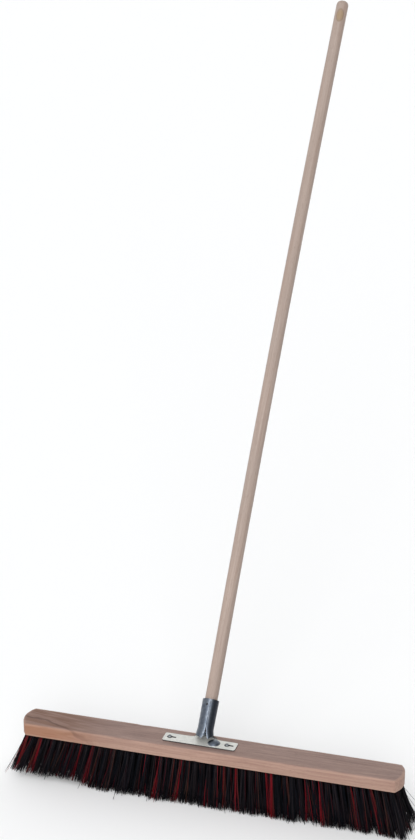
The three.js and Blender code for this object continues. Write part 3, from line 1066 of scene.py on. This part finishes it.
def make_stick(material):
    """A turned stick with a slight bow and uneven thickness, rounded at the top."""
    rings = [stick_ring(0.0, STICK_FOOT_TAPER)]
    round_start = STICK_LENGTH - STICK_TOP_ROUND
    for level in range(STICK_RINGS + 1):
        height = STICK_LENGTH * level / STICK_RINGS
        if height < round_start:
            rings.append(stick_ring(height, 1.0))
    for step in range(STICK_TOP_STEPS + 1):
        angle = math.pi / 2 * step / STICK_TOP_STEPS
        scale = max(math.cos(angle) ** 0.8, 0.02)
        rings.append(stick_ring(round_start + STICK_TOP_ROUND * math.sin(angle), scale))
    mesh = ring_mesh("turned_stick", rings)
    mesh.materials.append(material)
    smooth_faces(mesh, 50)
    turn = Vector((0, 0, 1)).rotation_difference(stick_axis).to_matrix().to_4x4()
    return add_piece("turned_stick", mesh, Matrix.Translation(stick_foot) @ turn)


# ---------------------------------------------------------------------- screws

def screw_profile():
    """Radius and height up the screw: point, threaded shank, flange and domed head."""
    profile = [(0.1 * MM, -SCREW_LENGTH)]
    for step in range(1, THREAD_STEPS):
        height = -SCREW_LENGTH + SCREW_LENGTH * step / THREAD_STEPS
        taper = min(1.0, (height + SCREW_LENGTH) / POINT_LENGTH)
        ridge = abs((height / THREAD_PITCH) % 1 - 0.5) * 2
        profile.append(((SHANK_RADIUS - THREAD_DEPTH * (1 - ridge)) * taper, height))
    bevel = 0.2 * MM
    profile += [(SHANK_RADIUS, -0.1 * MM), (SHANK_RADIUS, 0)]
    profile += [(HEAD_RADIUS - bevel, 0), (HEAD_RADIUS, bevel)]
    for step in range(HEAD_STEPS + 1):
        angle = math.pi / 2 * step / HEAD_STEPS
        height = HEAD_HEIGHT * (HEAD_FLANK + (1 - HEAD_FLANK) * math.sin(angle))
        profile.append((max(HEAD_RADIUS * math.cos(angle) ** 0.6, 0.15 * MM), height))
    return profile


def cut_groove(piece, turn):
    """Cuts one groove of the cross recess into a screw's head."""
    size = Matrix.Diagonal((RECESS_LENGTH, RECESS_WIDTH, 2 * RECESS_DEPTH, 1))
    spot = Matrix.Translation((0, 0, HEAD_HEIGHT)) @ Matrix.Rotation(turn, 4, "Z")
    cutter = bmesh.new()
    bmesh.ops.create_cube(cutter, size=1.0, matrix=spot @ size)
    mesh = bpy.data.meshes.new("blade")
    cutter.to_mesh(mesh)
    cutter.free()
    blade = add_piece("blade", mesh)
    cut = piece.modifiers.new("recess", "BOOLEAN")
    cut.operation = "DIFFERENCE"
    cut.object = blade
    baked(piece)
    bpy.data.objects.remove(blade)


def make_screw(name, node, material):
    """A screw with a cross recess, where the CAD screw stands."""
    low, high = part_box(node)
    place = Vector(((low.x + high.x) / 2, (low.y + high.y) / 2, high.z - HEAD_HEIGHT))
    rings = []
    for radius, height in screw_profile():
        ring = []
        for side in range(SCREW_SIDES):
            angle = 2 * math.pi * side / SCREW_SIDES
            ring.append(Vector((radius * math.cos(angle), radius * math.sin(angle), height)))
        rings.append(ring)
    mesh = ring_mesh(name, rings)
    mesh.materials.append(material)
    piece = add_piece(name, mesh)
    cut_groove(piece, RECESS_TURN)
    cut_groove(piece, RECESS_TURN + math.pi / 2)
    smooth_faces(piece.data, 40)
    piece.matrix_world = Matrix.Translation(place)
    return piece


# -------------------------------------------------------------------- assembly

def finish_as(piece, body, node):
    """Joins a finished piece to the frame: its body and the CAD node it shows."""
    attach(piece, body)
    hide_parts(node)


def build_object():
    """Makes every piece and joins it to the frame."""
    finish_as(make_block(block_wood()), "head", "broom_block")
    strands = strand_materials()
    for row in range(ROW_COUNT):
        for bank in range(BANKS_PER_ROW):
            node = f"bristle_row_{row + 1}_bank_{bank + 1:02d}"
            finish_as(make_bank(row, bank, strands), "head", node)
    finish_as(make_holder(zinc_plate(), bare_edge_with_shade()), "holder", "handle_holder")
    finish_as(make_stick(stick_wood()), "stick", "handle_stick")
    steel = zinc_screw()
    for side in ("left", "right"):
        node = f"holder_screw_{side}"
        finish_as(make_screw(f"pan_screw_{side}", node, steel), "head", node)


# ----------------------------------------------------- floor, light and camera

def make_floor():
    """A wide pale floor."""
    reach = 60.0
    mesh = bpy.data.meshes.new("floor")
    corners = [(-reach, -reach, 0), (reach, -reach, 0), (reach, reach, 0), (-reach, reach, 0)]
    mesh.from_pydata(corners, [], [(0, 1, 2, 3)])
    paint = (*FLOOR_PAINT, 1.0)
    mesh.materials.append(new_material("floor_paint", base_color=paint, roughness=0.8)[0])
    add_piece("studio_floor", mesh)


def make_world():
    """A studio: white wall behind, grey ceiling, dark to the right of the object."""
    world = bpy.data.worlds.new("studio")
    world.use_nodes = True
    tree = world.node_tree
    background = tree.nodes["Background"]
    direction = add_node(tree, "ShaderNodeTexCoord").outputs["Generated"]
    x, y, z = add_node(tree, "ShaderNodeSeparateXYZ", {0: direction}).outputs
    wall = product(tree, span(tree, y, -0.1, 0.6), span(tree, z, 0.85, 0.45))
    dark = product(tree, span(tree, x, 0.25, 0.7), span(tree, y, 0.75, 0.3))
    colour = mixed(tree, wall, ROOM_GREY, ROOM_WALL)
    colour = mixed(tree, product(tree, dark, 0.9), colour, ROOM_DARK)
    tree.links.new(colour, background.inputs["Color"])
    background.inputs["Strength"].default_value = 1.0
    bpy.context.scene.world = world


def add_sun(name, toward, strength, spread_degrees):
    """A soft far light that comes from the direction toward."""
    light = bpy.data.lights.new(name, "SUN")
    light.energy = strength
    light.angle = math.radians(spread_degrees)
    lamp = bpy.data.objects.new(name, light)
    lamp.rotation_euler = Vector(toward).to_track_quat("Z", "Y").to_euler()
    bpy.context.scene.collection.objects.link(lamp)


def make_camera():
    """The camera, level from side to side, at the angle that the front view needs."""
    data = bpy.data.cameras.new("camera")
    data.lens = CAMERA_LENS
    data.sensor_width = 36
    camera = bpy.data.objects.new("camera", data)
    camera.location = CAMERA_PLACE
    camera.rotation_euler = (math.pi / 2 - CAMERA_ELEVATION, 0, CAMERA_AZIMUTH)
    bpy.context.scene.collection.objects.link(camera)
    bpy.context.scene.camera = camera


make_camera()
build_object()
make_floor()
make_world()
add_sun("key", toward=(0.2, -0.85, 0.45), strength=1.45, spread_degrees=30)
add_sun("strip", toward=(-0.05, -0.6, 0.8), strength=0.7, spread_degrees=40)
bpy.context.scene.view_settings.view_transform = "Standard"
